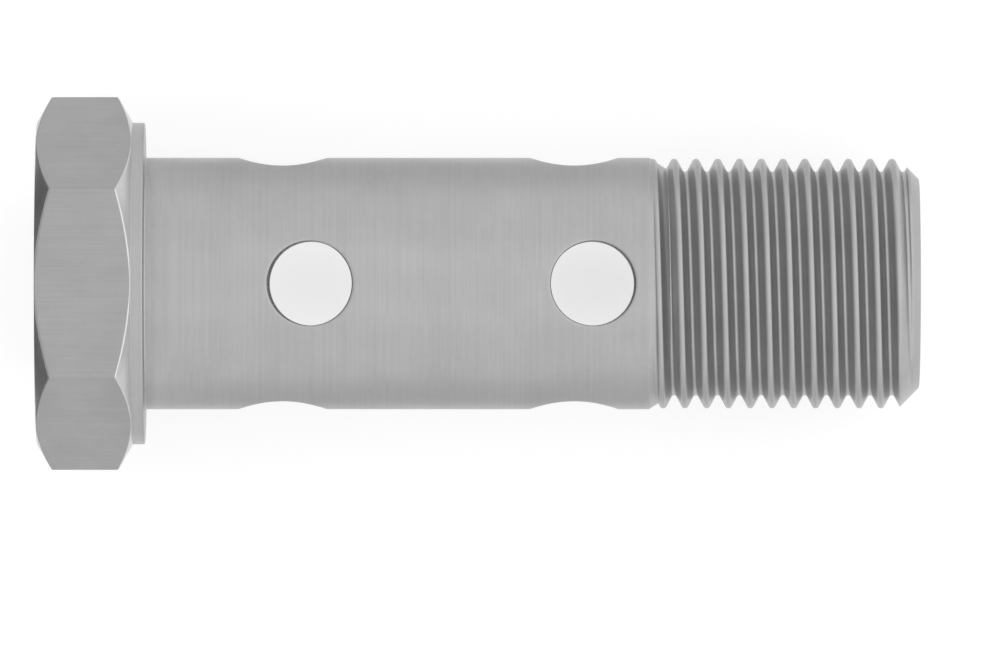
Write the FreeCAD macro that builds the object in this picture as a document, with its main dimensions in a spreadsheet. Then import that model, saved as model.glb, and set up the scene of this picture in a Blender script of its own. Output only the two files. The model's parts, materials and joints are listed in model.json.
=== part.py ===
import FreeCAD, Part
import os
import Sketcher
from FreeCAD import Placement, Rotation, Vector

# A double banjo bolt: one hollow bolt that clamps two banjo fittings and feeds both.
# It is turned, threaded and drilled from one hexagon steel bar, so it is one solid.
# In the bolt's own frame, X runs along the axis from the head to the tip, and the origin
# is the centre of the seat face, where the first fitting's washer bears.

doc = FreeCAD.newDocument("banjo_bolt")

# Millimetres, and degrees for the angles. The ports' stations are from the seat face.
SIZES = {
    "hex_across_flats": 27.0,
    "hex_height": 8.0,
    "seat_diameter": 26.8,
    "seat_thickness": 1.0,
    "head_chamfer_angle": 30.0,
    "shank_diameter": 20.955,
    "shank_length": 64.5,
    "tip_chamfer": 1.8,
    "thread_length": 22.5,
    "runout_length": 1.8,
    "thread_pitch": 1.814,
    "thread_depth": 1.162,
    "thread_angle": 55.0,
    "crest_allowance": 0.07,
    "bore_diameter": 13.0,
    "bore_depth": 65.5,
    "drill_point_angle": 118.0,
    "port_diameter": 7.0,
    "near_corner_port": 11.5,
    "near_flat_port": 13.8,
    "far_corner_port": 35.75,
    "far_flat_port": 37.3,
}

sheet = doc.addObject("Spreadsheet::Sheet", "Sizes")
for row, (name, value) in enumerate(SIZES.items(), start=1):
    sheet.set(f"A{row}", name)
    sheet.set(f"B{row}", str(value))
    sheet.setAlias(f"B{row}", name)
doc.recompute()

# Places worked out from the sheet, as expressions. Radii are measured from the axis.
HEAD_FACE = "-(Sizes.seat_thickness + Sizes.hex_height)"
SEAT_BACK = "-Sizes.seat_thickness"
SEAT_RADIUS = "Sizes.seat_diameter / 2"
FLAT_RADIUS = "Sizes.hex_across_flats / 2"
SHANK_RADIUS = "Sizes.shank_diameter / 2"
CREST_RADIUS = "Sizes.shank_diameter / 2 - Sizes.crest_allowance"
ROOT_RADIUS = "Sizes.shank_diameter / 2 - Sizes.thread_depth"
TIP = "Sizes.shank_length"
CHAMFER_START = "Sizes.shank_length - Sizes.tip_chamfer"
THREAD_START = "Sizes.shank_length - Sizes.thread_length"
FULL_THREAD_START = f"{THREAD_START} + Sizes.runout_length"

bolt = doc.addObject("PartDesign::Body", "Bolt")
bolt.Label = "banjo_bolt"


def new_sketch(name, plane, offset=None):
    """A sketch on one of the body's origin planes, moved along its normal by an expression."""
    sketch = bolt.newObject("Sketcher::SketchObject", name)
    origin_plane = next(f for f in bolt.Origin.OriginFeatures if f.Role == plane)
    sketch.AttachmentSupport = [(origin_plane, "")]
    sketch.MapMode = "FlatFace"
    if offset:
        sketch.setExpression("AttachmentOffset.Base.z", offset)
    return sketch


def drive(sketch, expression, kind, *where):
    """Add a dimension of that kind to the sketch and tie it to an expression."""
    value = float(sketch.evalExpression(expression))
    index = sketch.addConstraint(Sketcher.Constraint(kind, *where, value))
    sketch.setExpression(f"Constraints[{index}]", expression)


def add_outline(sketch, corners):
    """Draw a closed outline. Each corner is a pair of expressions, along the axis and out from it."""
    first = sketch.GeometryCount
    count = len(corners)
    points = [Vector(*(float(sketch.evalExpression(e)) for e in corner), 0) for corner in corners]
    for i in range(count):
        sketch.addGeometry(Part.LineSegment(points[i], points[(i + 1) % count]))
    for i in range(count):
        next_line = first + (i + 1) % count
        sketch.addConstraint(Sketcher.Constraint("Coincident", first + i, 2, next_line, 1))
    for i, (along, out) in enumerate(corners):
        drive(sketch, along, "DistanceX", -1, 1, first + i, 1)
        if out == "0":
            sketch.addConstraint(Sketcher.Constraint("PointOnObject", first + i, 1, -1))
        else:
            drive(sketch, out, "DistanceY", -1, 1, first + i, 1)


def add_feature(kind, name, sketch, axis=None):
    """A feature made from a sketch, turned about the bolt's axis where axis is given."""
    feature = bolt.newObject(f"PartDesign::{kind}", name)
    feature.Profile = sketch
    if axis:
        feature.ReferenceAxis = (sketch, [axis])
    sketch.Visibility = False
    return feature


# The head: a hexagon with corners up and down (along Y) and flats towards Z.
hexagon = new_sketch("Hexagon", "YZ_Plane", SEAT_BACK)
corner_radius = float(hexagon.evalExpression(f"{FLAT_RADIUS} / cos(30)"))
hexagon_corners = [
    Rotation(Vector(0, 0, 1), 60 * i).multVec(Vector(corner_radius, 0, 0)) for i in range(6)
]
for i in range(6):
    hexagon.addGeometry(Part.LineSegment(hexagon_corners[i], hexagon_corners[(i + 1) % 6]))
round_corners = hexagon.addGeometry(Part.Circle(Vector(), Vector(0, 0, 1), corner_radius), True)
inside_flats = hexagon.addGeometry(
    Part.Circle(Vector(), Vector(0, 0, 1), float(hexagon.evalExpression(FLAT_RADIUS))), True
)
for i in range(6):
    hexagon.addConstraint(Sketcher.Constraint("Coincident", i, 2, (i + 1) % 6, 1))
    hexagon.addConstraint(Sketcher.Constraint("PointOnObject", i, 1, round_corners))
for i in range(5):
    hexagon.addConstraint(Sketcher.Constraint("Equal", i, i + 1))
hexagon.addConstraint(Sketcher.Constraint("Coincident", round_corners, 3, -1, 1))
hexagon.addConstraint(Sketcher.Constraint("Coincident", inside_flats, 3, -1, 1))
hexagon.addConstraint(Sketcher.Constraint("PointOnObject", 0, 1, -1))
hexagon.addConstraint(Sketcher.Constraint("Tangent", 0, inside_flats))
drive(hexagon, "Sizes.hex_across_flats", "Diameter", inside_flats)
head = add_feature("Pad", "Head", hexagon)
head.Reversed = True
head.setExpression("Length", "Sizes.hex_height")

# Both ends of the hexagon are turned to a cone, which leaves the curved edges on its flats.
# Each cutter's foot is long enough to clear the corners.
CUTTER_REACH = f"{SEAT_RADIUS} + Sizes.hex_across_flats / 4"
CUTTER_SLOPE = "Sizes.hex_across_flats / 4 * tan(Sizes.head_chamfer_angle)"
cones = new_sketch("HeadCones", "XZ_Plane")
for face, inward in ((HEAD_FACE, "+"), (SEAT_BACK, "-")):
    add_outline(
        cones,
        [
            (face, SEAT_RADIUS),
            (face, CUTTER_REACH),
            (f"{face} {inward} {CUTTER_SLOPE}", CUTTER_REACH),
        ],
    )
add_feature("Groove", "HeadChamfers", cones, "H_Axis")

# The turned part: the round seat, the shank, and the thread's core behind a conical run-out.
turned = new_sketch("TurnedProfile", "XZ_Plane")
add_outline(
    turned,
    [
        (SEAT_BACK, "0"),
        (SEAT_BACK, SEAT_RADIUS),
        ("0", SEAT_RADIUS),
        ("0", SHANK_RADIUS),
        (THREAD_START, SHANK_RADIUS),
        (FULL_THREAD_START, ROOT_RADIUS),
        (TIP, ROOT_RADIUS),
        (TIP, "0"),
    ],
)
add_feature("Revolution", "Shank", turned, "H_Axis")

# The thread: one right-hand ridge wound from past the tip back into the shank. The run-out
# cone swallows its foot first, as a die's lead leaves it. The ridge's foot reaches a little
# below the core, so the two are one body. Crest and root are flats of a sixth of the pitch
# at the full depth, and the crest is lower than the shank by its allowance.
RIDGE_FOOT_DEPTH = "0.15"
SIDE_SLOPE = "tan(Sizes.thread_angle / 2)"
RIDGE_MIDDLE = f"{TIP} + Sizes.thread_pitch"
CREST_HALF = f"(Sizes.thread_pitch / 12 + Sizes.crest_allowance * {SIDE_SLOPE})"
FOOT_RADIUS = f"{ROOT_RADIUS} - {RIDGE_FOOT_DEPTH}"
FOOT_HALF = f"(Sizes.thread_pitch / 12 + (Sizes.thread_depth + {RIDGE_FOOT_DEPTH}) * {SIDE_SLOPE})"
ridge_section = new_sketch("RidgeSection", "XZ_Plane")
add_outline(
    ridge_section,
    [
        (f"{RIDGE_MIDDLE} - {FOOT_HALF}", FOOT_RADIUS),
        (f"{RIDGE_MIDDLE} - {CREST_HALF}", CREST_RADIUS),
        (f"{RIDGE_MIDDLE} + {CREST_HALF}", CREST_RADIUS),
        (f"{RIDGE_MIDDLE} + {FOOT_HALF}", FOOT_RADIUS),
    ],
)
thread = add_feature("AdditiveHelix", "Thread", ridge_section, "H_Axis")
thread.Mode = "pitch-height-angle"
thread.Reversed = True
thread.setExpression("Pitch", "Sizes.thread_pitch")
thread.setExpression("Height", "Sizes.thread_length + 2 * Sizes.thread_pitch")

# The tip is faced off and chamfered at 45 degrees, which also ends the thread.
BEYOND = "4 * Sizes.thread_pitch"
tip_cut = new_sketch("TipCut", "XZ_Plane")
add_outline(
    tip_cut,
    [
        (TIP, "0"),
        (TIP, f"{SHANK_RADIUS} - Sizes.tip_chamfer"),
        (f"{CHAMFER_START} - {BEYOND}", f"{SHANK_RADIUS} + {BEYOND}"),
        (f"{TIP} + {BEYOND}", f"{SHANK_RADIUS} + {BEYOND}"),
        (f"{TIP} + {BEYOND}", "0"),
    ],
)
add_feature("Groove", "TipChamfer", tip_cut, "H_Axis")

# The oil way: a blind bore from the tip, which ends in the drill's point under the head.
bore_mouth = new_sketch("BoreMouth", "YZ_Plane", TIP)
bore_mouth.addGeometry(Part.Circle(Vector(), Vector(0, 0, 1), SIZES["bore_diameter"] / 2))
bore_mouth.addConstraint(Sketcher.Constraint("Coincident", 0, 3, -1, 1))
drive(bore_mouth, "Sizes.bore_diameter", "Diameter", 0)
doc.recompute()
bore = add_feature("Hole", "Bore", bore_mouth)
doc.recompute()
bore.DepthType = "Dimension"
bore.DrillPoint = "Angled"
bore.setExpression("Diameter", "Sizes.bore_diameter")
bore.setExpression("Depth", "Sizes.bore_depth")
bore.setExpression("DrillPointAngle", "Sizes.drill_point_angle")

# The ports: each banjo is fed by two crossing holes, drilled right through the shank. One runs
# towards the hexagon's corners and the other, a little nearer the tip, towards its flats.
for name, plane, stations in (
    ("CornerPorts", "XZ_Plane", ("near_corner_port", "far_corner_port")),
    ("FlatPorts", "XY_Plane", ("near_flat_port", "far_flat_port")),
):
    circles = new_sketch(f"{name}Circles", plane)
    for i, station in enumerate(stations):
        centre = Vector(SIZES[station], 0, 0)
        circles.addGeometry(Part.Circle(centre, Vector(0, 0, 1), SIZES["port_diameter"] / 2))
        circles.addConstraint(Sketcher.Constraint("PointOnObject", i, 3, -1))
        drive(circles, f"Sizes.{station}", "DistanceX", -1, 1, i, 3)
        drive(circles, "Sizes.port_diameter", "Diameter", i)
    ports = add_feature("Pocket", name, circles)
    ports.Type = "ThroughAll"
    ports.Midplane = True

# The bolt lies on a surface as it comes to rest: on a flat of its head and on the thread's
# last full crest, so its axis dips towards the tip. The flat starts where the cone leaves it.
FLAT_END = f"Sizes.seat_thickness + ({FLAT_RADIUS} - {SEAT_RADIUS}) * tan(Sizes.head_chamfer_angle)"
bolt.Placement = Placement(Vector(), Rotation(Vector(0, 1, 0), 1))
bolt.setExpression(
    ".Placement.Rotation.Angle",
    f"atan(({FLAT_RADIUS} - ({CREST_RADIUS})) / ({CHAMFER_START} + {FLAT_END}))",
)
doc.recompute()

for item in doc.Objects:
    if "Invalid" in item.State or "Error" in item.State:
        raise RuntimeError(f"{item.Name} failed: {item.State}")
if bolt.Shape.isNull() or not bolt.Shape.isValid():
    raise RuntimeError("the bolt's shape is not valid")

os.makedirs("parts", exist_ok=True)
bolt.Shape.exportStep(f"parts/{bolt.Label}.step")
print(bolt.Label, len(bolt.Shape.Solids), "solid,", round(bolt.Shape.Volume, 2), "mm3")
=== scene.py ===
import json
import math

import bmesh
import bpy
import numpy as np
from mathutils import Matrix, Vector


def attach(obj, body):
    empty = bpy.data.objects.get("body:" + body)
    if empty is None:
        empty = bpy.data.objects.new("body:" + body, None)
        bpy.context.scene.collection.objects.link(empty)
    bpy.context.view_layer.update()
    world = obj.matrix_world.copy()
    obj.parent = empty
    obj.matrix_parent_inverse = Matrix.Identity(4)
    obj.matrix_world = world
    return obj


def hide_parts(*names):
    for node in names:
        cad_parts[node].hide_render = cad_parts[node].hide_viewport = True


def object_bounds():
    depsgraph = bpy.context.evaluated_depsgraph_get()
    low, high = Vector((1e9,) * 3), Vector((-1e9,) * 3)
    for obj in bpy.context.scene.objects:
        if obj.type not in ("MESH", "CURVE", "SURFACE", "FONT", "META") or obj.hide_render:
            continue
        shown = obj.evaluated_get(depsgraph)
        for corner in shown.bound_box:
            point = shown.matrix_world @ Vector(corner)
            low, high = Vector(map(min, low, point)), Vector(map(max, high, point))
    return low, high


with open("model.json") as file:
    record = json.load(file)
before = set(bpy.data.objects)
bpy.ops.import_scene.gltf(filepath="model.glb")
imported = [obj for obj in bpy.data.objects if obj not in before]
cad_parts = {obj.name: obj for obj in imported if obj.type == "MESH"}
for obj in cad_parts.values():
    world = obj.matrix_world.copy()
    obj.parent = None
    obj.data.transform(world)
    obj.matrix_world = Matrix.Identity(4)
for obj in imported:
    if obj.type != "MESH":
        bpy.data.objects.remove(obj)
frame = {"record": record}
cad_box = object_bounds()

# The banjo bolt is one piece of steel, turned and drilled from hexagon bar and then plated. It
# is drawn in its own frame: millimetres, x along the axis from the seat face to the tip, and
# turns about the axis from the flat that faces up to the corner that points along +Y.
MM = 0.001
mounts = {mount["name"]: mount for mount in frame["record"]["mounts"]}
axis = Vector(mounts["seat_face"]["axis"])
tilt = math.atan2(-axis.z, axis.x)
dip = Matrix.Rotation(tilt, 4, "Y")
bolt_to_scene = dip @ Matrix.Scale(MM, 4)
shank_radius = mounts["shank"]["dims"]["r_mm"]

# The head is what is left of the hexagon bar. Both its ends are turned to a 30 degree cone,
# which cuts the flats in curved edges, and a round seat is faced under it for the washer.
ACROSS_FLATS = 27.0
CORNER_ROUNDING = 0.35
SEAT_BACK = -1.0
SEAT_RADIUS = 13.4
SEAT_FILLET = 0.2
SEAT_FILLET_END = 0.5
HEAD_CHAMFER = math.radians(30)
EDGE_BREAK = 0.15
FINE_BREAK = 0.05
WIDEST_BREAK_SHARE = 0.45
ROUNDING_STEPS = 3
FLAT_TO_FLAT = math.radians(60)
FLAT_TO_CORNER = math.radians(30)
DEGREES_A_STEP = 2.5

head_face = SEAT_BACK - mounts["spanner_flats"]["dims"]["length_mm"]
flat_radius = ACROSS_FLATS / 2
corner_centre = (flat_radius - CORNER_ROUNDING) / math.cos(FLAT_TO_CORNER)
corner_turn = math.atan2(
    CORNER_ROUNDING * math.sin(FLAT_TO_CORNER),
    corner_centre + CORNER_ROUNDING * math.cos(FLAT_TO_CORNER),
)
even_turns = [math.radians(DEGREES_A_STEP * i) for i in range(int(360 / DEGREES_A_STEP) + 1)]
corner_turns = [
    FLAT_TO_CORNER + FLAT_TO_FLAT * i + corner_turn * side
    for i in range(6)
    for side in (-1, -0.5, 0.5, 1)
]
turns = np.array(sorted(even_turns + corner_turns))

# Every face has one of six finishes, which are numbered in the order of their making below.
TURNED, BAR_FLAT, CHAMFER, FACED, THREAD, BORE = range(6)
bolt_mesh = bmesh.new()


def add_grid(points, finish):
    """Join an array of points, rows by columns, into faces of one finish."""
    rows = [[bolt_mesh.verts.new(bolt_to_scene @ Vector(p)) for p in row] for row in points]
    for row, next_row in zip(rows, rows[1:]):
        for a, b, c, d in zip(row, row[1:], next_row[1:], next_row):
            bolt_mesh.faces.new((a, b, c, d)).material_index = finish


def ring_points(x, radius, turn):
    """Points at these stations, radii and turns about the axis."""
    x, radius, turn = np.broadcast_arrays(x, radius, turn)
    return np.stack([x, radius * np.sin(turn), radius * np.cos(turn)], axis=-1)


def curve(start, corner, end, steps):
    """The points of a short curve that rounds a corner."""
    for t in np.linspace(0, 1, steps + 1):
        yield (1 - t) ** 2 * start + 2 * t * (1 - t) * corner + t * t * end


def rounded(corners):
    """A profile whose corners, each (x, radius, reach of the rounding), become short curves."""
    profile = [corners[0][:2]]
    for before, (x, radius, reach), after in zip(corners, corners[1:], corners[2:]):
        corner = np.array((x, radius))
        back = np.array(before[:2]) - corner
        ahead = np.array(after[:2]) - corner
        start = corner + back / np.hypot(*back) * reach
        end = corner + ahead / np.hypot(*ahead) * reach
        profile.extend(curve(start, corner, end, ROUNDING_STEPS))
    profile.append(corners[-1][:2])
    return np.array(profile)


def hexagon_radius(turn):
    """The bar's outline: six flats that meet in slightly rounded corners."""
    from_corner = turn % FLAT_TO_FLAT - FLAT_TO_CORNER
    if abs(from_corner) > corner_turn:
        return flat_radius / math.cos(FLAT_TO_CORNER - abs(from_corner))
    inset = corner_centre * math.sin(from_corner)
    return corner_centre * math.cos(from_corner) + math.sqrt(CORNER_ROUNDING**2 - inset**2)


def head_profile(turn):
    """The head's outline at one turn, from the middle of its end face to the shank."""
    outside = hexagon_radius(turn)
    cone_length = (outside - SEAT_RADIUS) * math.tan(HEAD_CHAMFER)
    cone_side = (outside - SEAT_RADIUS) / math.cos(HEAD_CHAMFER)
    edge = min(EDGE_BREAK, WIDEST_BREAK_SHARE * cone_side)
    corners = [
        (head_face, 0, 0),
        (head_face, SEAT_RADIUS, edge),
        (head_face + cone_length, outside, edge),
        (SEAT_BACK - cone_length, outside, edge),
        (SEAT_BACK, SEAT_RADIUS, FINE_BREAK),
        (0, SEAT_RADIUS, EDGE_BREAK),
        (0, shank_radius, SEAT_FILLET),
        (SEAT_FILLET_END, shank_radius, 0),
    ]
    return rounded(corners)


# Each finish gives way to the next in the middle of a rounded edge.
head = np.array([head_profile(turn) for turn in turns])
head_points = ring_points(head[:, :, 0], head[:, :, 1], turns[:, None])
edges = [ROUNDING_STEPS // 2 + 1 + (ROUNDING_STEPS + 1) * i for i in range(4)]
changes = [0, *edges, head_points.shape[1] - 1]
finishes = (FACED, CHAMFER, BAR_FLAT, CHAMFER, TURNED)
for first, last, finish in zip(changes, changes[1:], finishes):
    add_grid(head_points[:, first : last + 1], finish)

# The shank is turned smooth to the thread's diameter. Each of its two stations has two
# crossing ports, drilled right through: one towards corners and one towards flats.
PORT_RADIUS = 3.5
PORT_BREAK = 0.25
BORE_BREAK = 0.12
# Stations along the axis: each pair's stretch of wall, and the middles of its two ports.
NEAR_PORTS = {"from": 7.0, "to": 18.5, "corner": 11.5, "flat": 13.8}
FAR_PORTS = {"from": 31.0, "to": 41.8, "corner": 35.75, "flat": 37.3}
THIN_RING = 0.05
SHANK_RINGS = 4
PATCH_POINTS = 25
SKIN_ROWS = 8
WALL_ROWS = 6
LIP_STEPS = 4
CROWDING_AT_PORT = 1.4
EIGHTH_TURN = math.radians(45)
TURN_SLACK = 1e-9

bore_radius = mounts["oil_bore"]["dims"]["r_mm"]
tip = Vector(mounts["oil_bore"]["pos_m"]).length / MM
runout_start = tip - mounts["thread"]["dims"]["length_mm"]


def add_lathe(profile, finish):
    """Turn a profile of (x, radius) points about the axis."""
    x, radius = np.array(profile, float).T
    add_grid(ring_points(x, radius, turns[:, None]), finish)


def add_port(station, centre, facing):
    """The quarter of the shank's wall around one port: outer skin, port wall, bore skin."""
    quarter = turns[np.abs(turns - facing) <= EIGHTH_TURN + TURN_SLACK] - facing

    # The quarter that faces up has one half at the start of the turns and one at their end.
    if facing == 0:
        before = turns[turns >= 2 * math.pi - EIGHTH_TURN - TURN_SLACK] - 2 * math.pi
        quarter = np.concatenate([before[:-1], quarter])
    along = np.linspace(station["from"], station["to"], PATCH_POINTS)

    # The patch's rim, and the direction from the port's centre to each of its points.
    x = np.concatenate(
        [along, np.full_like(quarter, along[-1]), along[::-1], np.full_like(quarter, along[0])]
    )
    side = np.concatenate(
        [np.full_like(along, quarter[0]), quarter, np.full_like(along, quarter[-1]), quarter[::-1]]
    )
    angle = np.arctan2(side * shank_radius, x - centre)
    across, up = np.cos(angle), np.sin(angle)

    def place(x, sideways, height):
        """Points laid out beside and above the axis, turned to where the port faces."""
        y = sideways * math.cos(facing) + height * math.sin(facing)
        z = -sideways * math.sin(facing) + height * math.cos(facing)
        return np.stack([x, y, z], axis=-1)

    def skin(radius, reach):
        """Rows of points on a skin, from the port's mouth out to the patch's rim."""
        mouth_turn = np.arcsin(reach * up / radius)
        for share in np.linspace(0, 1, SKIN_ROWS) ** CROWDING_AT_PORT:
            turn = mouth_turn + (side - mouth_turn) * share
            along_x = centre + reach * across + (x - centre - reach * across) * share
            yield place(along_x, radius * np.sin(turn), radius * np.cos(turn))

    def lip(radius, edge, drop):
        """Rows of points round the broken edge between a skin and the port's wall."""
        reach = PORT_RADIUS + edge
        start_height = np.sqrt(radius**2 - (reach * up) ** 2)
        height = np.sqrt(radius**2 - (PORT_RADIUS * up) ** 2)
        start = place(centre + reach * across, reach * up, start_height)
        corner = place(centre + PORT_RADIUS * across, PORT_RADIUS * up, height)
        end = place(centre + PORT_RADIUS * across, PORT_RADIUS * up, height + drop)
        return curve(start, corner, end, LIP_STEPS)

    outer = list(skin(shank_radius, PORT_RADIUS + PORT_BREAK))[::-1]
    inner = list(skin(bore_radius, PORT_RADIUS + BORE_BREAK))
    outer_lip = list(lip(shank_radius, PORT_BREAK, -PORT_BREAK))
    inner_lip = list(lip(bore_radius, BORE_BREAK, BORE_BREAK))[::-1]
    down = inner_lip[0] - outer_lip[-1]
    wall = [outer_lip[-1] + down * share for share in np.linspace(0, 1, WALL_ROWS)]
    add_grid(outer + outer_lip[1:], TURNED)
    add_grid(wall + inner_lip[1:] + inner[1:], BORE)


# A thin ring beside the thread's run-out keeps the smooth shank true right up to it.
for start, end in (
    (SEAT_FILLET_END, NEAR_PORTS["from"]),
    (NEAR_PORTS["to"], FAR_PORTS["from"]),
    (FAR_PORTS["to"], runout_start - THIN_RING),
    (runout_start - THIN_RING, runout_start),
):
    add_lathe([(x, shank_radius) for x in np.linspace(start, end, SHANK_RINGS)], TURNED)
for station in (NEAR_PORTS, FAR_PORTS):
    for facing, kind in ((0, "flat"), (90, "corner"), (180, "flat"), (270, "corner")):
        add_port(station, station[kind], math.radians(facing))

# The thread is a right-hand parallel pipe thread, cut with a die after the shank is turned.
# Crests and roots are round. It runs out behind in a short cone, and the tip is chamfered.
PITCH = 1.814
FLANK = math.radians(27.5)
THREAD_DEPTH = 1.162
CREST_ALLOWANCE = 0.07
RUNOUT_LENGTH = 1.8
TIP_CHAMFER = 1.8
SOFTENING = 0.05
STOP_BEFORE_TIP = 0.2
ARC_POINTS = 4
SPARE_RIDGES = 4

# The thread's form rounds off a sixth of the sharp ridge's height at the crest, and at the root.
rounded_off = PITCH / 12 / math.tan(FLANK)
crest_radius = shank_radius - CREST_ALLOWANCE
root_radius = shank_radius - THREAD_DEPTH
sharp_crest = shank_radius + rounded_off
sharp_root = root_radius - rounded_off
crest_rounding = (sharp_crest - crest_radius) / (1 / math.sin(FLANK) - 1)
root_rounding = (root_radius - sharp_root) / (1 / math.sin(FLANK) - 1)
bends = np.linspace(0, math.pi / 2 - FLANK, ARC_POINTS)
crest_x = crest_rounding * np.sin(bends)
crest_height = crest_radius - crest_rounding * (1 - np.cos(bends))
root_x = PITCH / 2 - root_rounding * np.sin(bends)
root_height = root_radius + root_rounding * (1 - np.cos(bends))
crest_arc = np.stack([crest_x, crest_height], axis=-1)
root_arc = np.stack([root_x, root_height], axis=-1)[::-1]
flank = [crest_arc[-1] + (root_arc[0] - crest_arc[-1]) * share for share in (1 / 3, 2 / 3)]
half_ridge = np.concatenate([crest_arc, flank, root_arc])
ridge = np.concatenate([half_ridge[:0:-1] * (-1, 1), half_ridge[:-1]])


def softer(low, high):
    """The lower of two heights, with the crease between them a little rounded."""
    blend = np.clip(0.5 + (high - low) / (2 * SOFTENING), 0, 1)
    return high + (low - high) * blend - SOFTENING * blend * (1 - blend)


thread_end = tip - STOP_BEFORE_TIP
ridge_count = int((tip - runout_start) / PITCH) + SPARE_RIDGES
centres = tip - PITCH * np.arange(ridge_count, -2, -1)

# The ridges stand side by side along the axis, and go back by one pitch in each turn about it.
unwound = (centres[:, None] + ridge[:, 0]).ravel()
x = unwound[None, :] - PITCH * turns[:, None] / (2 * math.pi)
x = np.clip(x, runout_start, thread_end)
runout = shank_radius - (x - runout_start) * THREAD_DEPTH / RUNOUT_LENGTH
chamfer = shank_radius - (x - (tip - TIP_CHAMFER))
height = np.tile(ridge[:, 1], len(centres))
height = -softer(-height, -runout)
height = softer(height, chamfer)
add_grid(ring_points(x, height, turns[:, None]), THREAD)

# The oil way is drilled from the tip and stops in the drill's cone under the head. Its mouth is
# eased, and the tip's end face is turned flat between the mouth and the chamfer.
DRILL_POINT = math.radians(118 / 2)
BORE_MOUTH_BREAK = 0.2
BORE_MOUTH_LENGTH = 1.0
BORE_RINGS = 5
bore_end = tip - mounts["oil_bore"]["dims"]["length_mm"]
bore_point = bore_end - bore_radius / math.tan(DRILL_POINT)
tip_profile = rounded(
    [
        (thread_end, shank_radius - (thread_end - tip + TIP_CHAMFER), 0),
        (tip, shank_radius - TIP_CHAMFER, EDGE_BREAK),
        (tip, bore_radius, BORE_MOUTH_BREAK),
        (tip - BORE_MOUTH_LENGTH, bore_radius, 0),
    ]
)
chamfer_rows = ROUNDING_STEPS + 2
add_lathe(tip_profile[:chamfer_rows], TURNED)
add_lathe(tip_profile[chamfer_rows - 1 : chamfer_rows + 1], FACED)
add_lathe(tip_profile[chamfer_rows:], BORE)
for start, end in (
    (tip - BORE_MOUTH_LENGTH, FAR_PORTS["to"]),
    (FAR_PORTS["from"], NEAR_PORTS["to"]),
    (NEAR_PORTS["from"], bore_end),
):
    add_lathe([(x, bore_radius) for x in np.linspace(start, end, BORE_RINGS)], BORE)
add_lathe([(bore_end, bore_radius), (bore_point, 0)], BORE)

# All of it is one closed skin, as it is one piece of steel. A point's normal leans to the larger
# faces around it, so flats and faces stay flat right up to their rounded edges.
SAME_PLACE = 0.002
bmesh.ops.remove_doubles(bolt_mesh, verts=bolt_mesh.verts, dist=SAME_PLACE * MM)
bmesh.ops.recalc_face_normals(bolt_mesh, faces=bolt_mesh.faces)
bolt_mesh.normal_update()
weighed_normals = [
    sum((face.normal * face.calc_area() for face in vert.link_faces), Vector()).normalized()
    for vert in bolt_mesh.verts
]
bolt_data = bpy.data.meshes.new("banjo_bolt_surface")
bolt_mesh.to_mesh(bolt_data)
bolt_mesh.free()
bolt_data.shade_smooth()
bolt_data.normals_split_custom_set_from_vertices(weighed_normals)
bolt = bpy.data.objects.new("banjo_bolt_surface", bolt_data)
bpy.context.scene.collection.objects.link(bolt)

# The bolt is zinc plated. Plating is never quite even: it clouds over a few millimetres and
# mottles finely. Its tone also follows the height of the tool marks, as painted shade in their
# hollows and painted sheen on their ridges.
CLOUDS_PER_MM = 0.22
MOTTLE_PER_MM = 2.6
MOTTLE_SHARE = 0.35
NOISE_LOW, NOISE_HIGH = 0.35, 1.0
SHINE_SWING = -0.05


def new_group(name, sockets_in, sockets_out):
    """An empty shader node group with named sockets, each given as (name, kind, value)."""
    group = bpy.data.node_groups.new(name, "ShaderNodeTree")
    for socket_name, kind, value in sockets_in:
        socket = group.interface.new_socket(socket_name, in_out="INPUT", socket_type=kind)
        if value is not None:
            socket.default_value = value
    for socket_name, kind in sockets_out:
        group.interface.new_socket(socket_name, in_out="OUTPUT", socket_type=kind)
    given = group.nodes.new("NodeGroupInput").outputs
    put_out = group.nodes.new("NodeGroupOutput").inputs
    return group, given, put_out


def add_node(tree, kind, inputs=(), **settings):
    """A node whose inputs, by name or number, are each a value or another node's output."""
    node = tree.nodes.new(kind)
    for name, value in settings.items():
        setattr(node, name, value)
    for name, value in dict(inputs).items():
        if isinstance(value, bpy.types.NodeSocket):
            tree.links.new(value, node.inputs[name])
        else:
            node.inputs[name].default_value = value
    return node


plating, given, plated = new_group(
    "plating_tone",
    [
        ("Position", "NodeSocketVector", None),
        ("Tone", "NodeSocketColor", (0.5, 0.5, 0.5, 1)),
        ("Roughness", "NodeSocketFloat", 0.4),
        ("Clouding", "NodeSocketFloat", 0.06),
        ("Tool Marks", "NodeSocketFloat", 0.5),
        ("Contrast", "NodeSocketFloat", 0.2),
    ],
    [("Color", "NodeSocketColor"), ("Roughness", "NodeSocketFloat")],
)
clouds = add_node(
    plating, "ShaderNodeTexNoise",
    {"Vector": given["Position"], "Scale": CLOUDS_PER_MM, "Detail": 3.0, "Roughness": 0.55},
)
mottle = add_node(
    plating, "ShaderNodeTexNoise",
    {"Vector": given["Position"], "Scale": MOTTLE_PER_MM, "Detail": 2.0, "Roughness": 0.6},
)
unevenness = add_node(
    plating, "ShaderNodeMath",
    {0: mottle.outputs["Fac"], 1: MOTTLE_SHARE, 2: clouds.outputs["Fac"]},
    operation="MULTIPLY_ADD",
)
swing = add_node(
    plating, "ShaderNodeMapRange",
    {"Value": unevenness.outputs[0], "From Min": NOISE_LOW, "From Max": NOISE_HIGH,
     "To Min": -1.0, "To Max": 1.0},
)
clouded = add_node(
    plating, "ShaderNodeMath", {0: swing.outputs[0], 1: given["Clouding"], 2: 1.0},
    operation="MULTIPLY_ADD",
)
# Painted shade and sheen: the tone drops in the hollows of the tool marks and rises on their
# ridges.
from_middle = add_node(
    plating, "ShaderNodeMath", {0: given["Tool Marks"], 1: 0.5}, operation="SUBTRACT"
)
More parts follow.
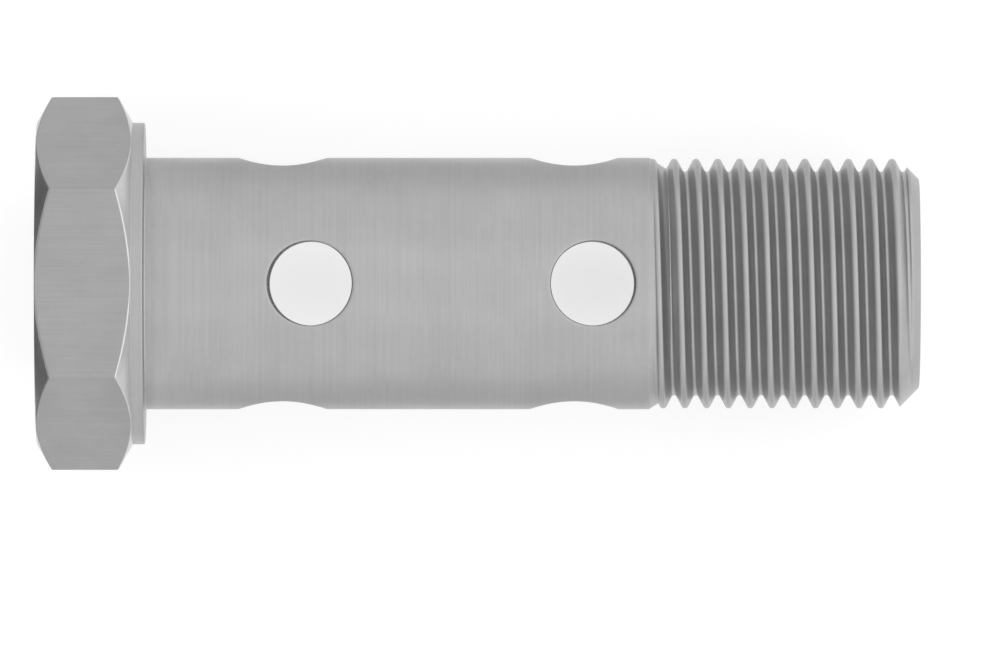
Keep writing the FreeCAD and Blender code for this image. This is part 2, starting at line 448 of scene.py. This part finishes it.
shade = add_node(
    plating, "ShaderNodeMath",
    {0: from_middle.outputs[0], 1: given["Contrast"], 2: clouded.outputs[0]},
    operation="MULTIPLY_ADD",
)
toned = add_node(
    plating, "ShaderNodeVectorMath", {0: given["Tone"], "Scale": shade.outputs[0]},
    operation="SCALE",
)
plating.links.new(toned.outputs[0], plated["Color"])
dulled = add_node(
    plating, "ShaderNodeMath", {0: swing.outputs[0], 1: SHINE_SWING, 2: given["Roughness"]},
    operation="MULTIPLY_ADD",
)
plating.links.new(dulled.outputs[0], plated["Roughness"])

# A turned face keeps fine rings about the axis, each a little deeper or shallower than the next.
# The rings wander a little, because the bar and the tool give way.
DRIFT_PER_MM = 0.15
rings, given, cut = new_group(
    "turning_rings",
    [("Position", "NodeSocketVector", None), ("Spacing", "NodeSocketFloat", 0.2)],
    [("Height", "NodeSocketFloat")],
)
split = add_node(rings, "ShaderNodeSeparateXYZ", {0: given["Position"]})
across = add_node(
    rings, "ShaderNodeCombineXYZ", {"X": split.outputs["Y"], "Y": split.outputs["Z"]}
)
from_axis = add_node(rings, "ShaderNodeVectorMath", {0: across.outputs[0]}, operation="LENGTH")
drift = add_node(
    rings, "ShaderNodeTexNoise",
    {"Vector": given["Position"], "Scale": DRIFT_PER_MM, "Detail": 1.0},
)
profile_place = add_node(
    rings, "ShaderNodeCombineXYZ",
    {"X": split.outputs["X"], "Y": from_axis.outputs["Value"], "Z": drift.outputs["Fac"]},
)
per_ring = add_node(rings, "ShaderNodeMath", {0: 1.0, 1: given["Spacing"]}, operation="DIVIDE")
ring_noise = add_node(
    rings, "ShaderNodeTexNoise",
    {"Vector": profile_place.outputs[0], "Scale": per_ring.outputs[0], "Detail": 2.0},
)
rings.links.new(ring_noise.outputs["Fac"], cut["Height"])

# Six finishes share the plating. Turned, faced and drilled faces have rings, and the hexagon's
# flats have the bar's drawn lines along them. Spacing and depth of the marks are in millimetres.
LINE_STRETCH = 0.02


def add_finish(name, tone, roughness, clouding, spacing, depth, mark_shading, drawn=False):
    """Plated steel with tool marks: rings about the axis, or lines along it where drawn."""
    material = bpy.data.materials.new(name)
    material.use_nodes = True
    tree = material.node_tree
    shader = tree.nodes["Principled BSDF"]
    shader.inputs["Metallic"].default_value = 1.0
    place = add_node(tree, "ShaderNodeTexCoord").outputs["Object"]
    in_bolt = add_node(
        tree, "ShaderNodeMapping",
        {"Vector": place, "Rotation": (0, -tilt, 0), "Scale": (1 / MM,) * 3},
    ).outputs[0]
    if drawn:
        drawn_out = add_node(
            tree, "ShaderNodeVectorMath", {0: in_bolt, 1: (LINE_STRETCH, 1.0, 1.0)},
            operation="MULTIPLY",
        )
        marks = add_node(
            tree, "ShaderNodeTexNoise",
            {"Vector": drawn_out.outputs[0], "Scale": 1 / spacing, "Detail": 2.0},
        ).outputs["Fac"]
    else:
        turned = add_node(tree, "ShaderNodeGroup", node_tree=rings)
        turned.inputs["Spacing"].default_value = spacing
        tree.links.new(in_bolt, turned.inputs["Position"])
        marks = turned.outputs["Height"]
    surface = add_node(tree, "ShaderNodeGroup", node_tree=plating)
    surface.inputs["Tone"].default_value = (*tone, 1)
    surface.inputs["Roughness"].default_value = roughness
    surface.inputs["Clouding"].default_value = clouding
    surface.inputs["Contrast"].default_value = mark_shading
    tree.links.new(in_bolt, surface.inputs["Position"])
    tree.links.new(marks, surface.inputs["Tool Marks"])
    tree.links.new(surface.outputs["Color"], shader.inputs["Base Color"])
    tree.links.new(surface.outputs["Roughness"], shader.inputs["Roughness"])
    bump = add_node(
        tree, "ShaderNodeBump", {"Height": marks, "Strength": 1.0, "Distance": depth * MM}
    )
    tree.links.new(bump.outputs[0], shader.inputs["Normal"])
    bolt_data.materials.append(material)


add_finish(
    "turned_plating", tone=(0.385, 0.385, 0.39), roughness=0.38,
    clouding=0.04, spacing=0.25, depth=0.010, mark_shading=0.18,
)
add_finish(
    "drawn_flat_plating", tone=(0.338, 0.338, 0.343), roughness=0.42,
    clouding=0.05, spacing=0.16, depth=0.008, mark_shading=0.16, drawn=True,
)
# Painted light: the chamfers carry a much lighter tone than the rest of the same plating, so they
# read bright under the lamps.
add_finish(
    "chamfer_plating", tone=(0.64, 0.64, 0.645), roughness=0.35,
    clouding=0.05, spacing=0.18, depth=0.006, mark_shading=0.2,
)
# Painted light: the end faces carry a lighter tone than the turned skin of the same plating, to
# make up for the dark that they mirror.
add_finish(
    "faced_plating", tone=(0.48, 0.48, 0.485), roughness=0.38,
    clouding=0.05, spacing=0.3, depth=0.012, mark_shading=0.35,
)
add_finish(
    "thread_plating", tone=(0.385, 0.385, 0.39), roughness=0.36,
    clouding=0.05, spacing=0.12, depth=0.002, mark_shading=0.1,
)
# Painted light: the bore carries a lighter tone than the outer skin of the same plating, against
# the shade inside it.
add_finish(
    "bore_plating", tone=(0.46, 0.46, 0.465), roughness=0.46,
    clouding=0.06, spacing=0.3, depth=0.008, mark_shading=0.3,
)

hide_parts("banjo_bolt")
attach(bolt, "root")

# The floor is a plain pale sheet, level with the lowest point of the bolt. It glows a little, as
# a sheet lit from all round does.
HALF_FLOOR = 3.0
FLOOR_TONE = 0.35
FLOOR_GLOW = 0.7
SHEET_ROUGHNESS = 0.8
SHEET_SHEEN = 0.2
floor_z = cad_box[0].z


def add_sheet(name, low, high, z, tone):
    """A level matt sheet between two corners, each given as (x, y) in metres."""
    corners = [(low[0], low[1]), (high[0], low[1]), (high[0], high[1]), (low[0], high[1])]
    sheet_mesh = bpy.data.meshes.new(name)
    sheet_mesh.from_pydata([(*corner, z) for corner in corners], [], [(0, 1, 2, 3)])
    sheet = bpy.data.objects.new(name, sheet_mesh)
    bpy.context.scene.collection.objects.link(sheet)
    material = bpy.data.materials.new(name)
    material.use_nodes = True
    shader = material.node_tree.nodes["Principled BSDF"]
    shader.inputs["Base Color"].default_value = (tone, tone, tone, 1)
    shader.inputs["Roughness"].default_value = SHEET_ROUGHNESS
    shader.inputs["Specular IOR Level"].default_value = SHEET_SHEEN
    sheet_mesh.materials.append(material)
    return sheet, shader


_, floor_shader = add_sheet(
    "floor", (-HALF_FLOOR, -HALF_FLOOR), (HALF_FLOOR, HALF_FLOOR), floor_z, FLOOR_TONE
)
floor_shader.inputs["Emission Color"].default_value = (1, 1, 1, 1)
floor_shader.inputs["Emission Strength"].default_value = FLOOR_GLOW

# Three matt cards lie on the floor out of sight, a black one beside the head and grey ones along
# the shank. Only the bolt mirrors them, which gives its chamfers and round sides their depth.
CARD_LIFT = 0.0001
BLACK, GREY = 0.03, 0.8
for name, low, high, tone in (
    ("black_card", (-0.12, -0.1), (-0.025, 0.1), BLACK),
    ("left_grey_card", (0.0, 0.02), (0.08, 0.12), GREY),
    ("right_grey_card", (0.0, -0.12), (0.08, -0.02), GREY),
):
    card, _ = add_sheet(name, low, high, floor_z + CARD_LIFT, tone)
    card.visible_camera = False
    card.visible_diffuse = False
    card.visible_shadow = False

# The light is a pale tent all round. Its wall is brighter ahead of the tip and dim low down
# behind the head, and one softbox hangs over the tip. The camera sees the tent as plain white.
TENT_BEHIND, TENT_ABOVE, TENT_AHEAD, TENT_SIDES = 0.42, 0.97, 1.35, 0.2
DIMMEST_FROM = -0.8
WALL_TOP, WALL_FOOT = 0.75, 0.2
world = bpy.data.worlds.new("studio_tent")
world.use_nodes = True
tent = world.node_tree
heading = add_node(tent, "ShaderNodeTexCoord").outputs["Generated"]
heading_parts = add_node(tent, "ShaderNodeSeparateXYZ", {0: heading})
behind = add_node(
    tent, "ShaderNodeMapRange",
    {"Value": heading_parts.outputs["X"], "From Min": DIMMEST_FROM, "From Max": 0.0,
     "To Min": TENT_BEHIND - TENT_ABOVE, "To Max": 0.0},
)
low_down = add_node(
    tent, "ShaderNodeMapRange",
    {"Value": heading_parts.outputs["Z"], "From Min": WALL_FOOT, "From Max": WALL_TOP,
     "To Min": 1.0, "To Max": 0.0},
)
ahead = add_node(
    tent, "ShaderNodeMapRange",
    {"Value": heading_parts.outputs["X"], "From Min": 0.0, "From Max": 1.0,
     "To Min": TENT_ABOVE, "To Max": TENT_AHEAD},
)
sideways = add_node(
    tent, "ShaderNodeMath", {0: heading_parts.outputs["Y"]}, operation="ABSOLUTE"
)
lengthways = add_node(
    tent, "ShaderNodeMath",
    {0: behind.outputs[0], 1: low_down.outputs[0], 2: ahead.outputs[0]},
    operation="MULTIPLY_ADD",
)
glow = add_node(
    tent, "ShaderNodeMath",
    {0: sideways.outputs[0], 1: TENT_SIDES, 2: lengthways.outputs[0]}, operation="MULTIPLY_ADD",
)
seen = add_node(tent, "ShaderNodeLightPath").outputs["Is Camera Ray"]
shown_glow = add_node(tent, "ShaderNodeMix", {"Factor": seen, "A": glow.outputs[0], "B": 1.0})
tent.links.new(shown_glow.outputs["Result"], tent.nodes["Background"].inputs["Strength"])
tent.nodes["Background"].inputs["Color"].default_value = (1, 1, 1, 1)
bpy.context.scene.world = world
bpy.context.scene.view_settings.view_transform = "Standard"

SOFTBOX_SIDE = 0.28
SOFTBOX_WATTS = 0.05
SOFTBOX_PLACE = (0.13, 0, 0.2)
softbox_data = bpy.data.lights.new("softbox", "AREA")
softbox_data.shape = "SQUARE"
softbox_data.size = SOFTBOX_SIDE
softbox_data.energy = SOFTBOX_WATTS
softbox = bpy.data.objects.new("softbox", softbox_data)
softbox.location = SOFTBOX_PLACE
softbox.visible_camera = False
bpy.context.scene.collection.objects.link(softbox)

# The camera looks square at the axis from over the bolt, as the photograph does, through a long
# lens. The bolt's middle lands on the same pixel as the photograph's.
PICTURE_WIDTH = 1000
PICTURE_MIDDLE = (500, 330)
BOLT_CENTRE_PIXEL = (478.0, 283.5)
PIXELS_PER_MM = 12.0
bolt_middle = (head_face + tip) / 2
aim_x = bolt_middle + (PICTURE_MIDDLE[0] - BOLT_CENTRE_PIXEL[0]) / PIXELS_PER_MM
aim_y = -(PICTURE_MIDDLE[1] - BOLT_CENTRE_PIXEL[1]) / PIXELS_PER_MM
camera_data = bpy.data.cameras.new("camera")
camera_data.lens = 800
camera_data.sensor_width = 36
distance = PICTURE_WIDTH / PIXELS_PER_MM * MM / camera_data.sensor_width * camera_data.lens
camera_data.clip_start = 0.1
camera_data.clip_end = 20
camera = bpy.data.objects.new("camera", camera_data)
aim = dip @ Vector((aim_x * MM, aim_y * MM, 0))
back_off = dip @ Vector((0, 0, distance))
camera.matrix_world = Matrix.Translation(aim + back_off) @ dip
bpy.context.scene.collection.objects.link(camera)
bpy.context.scene.camera = camera
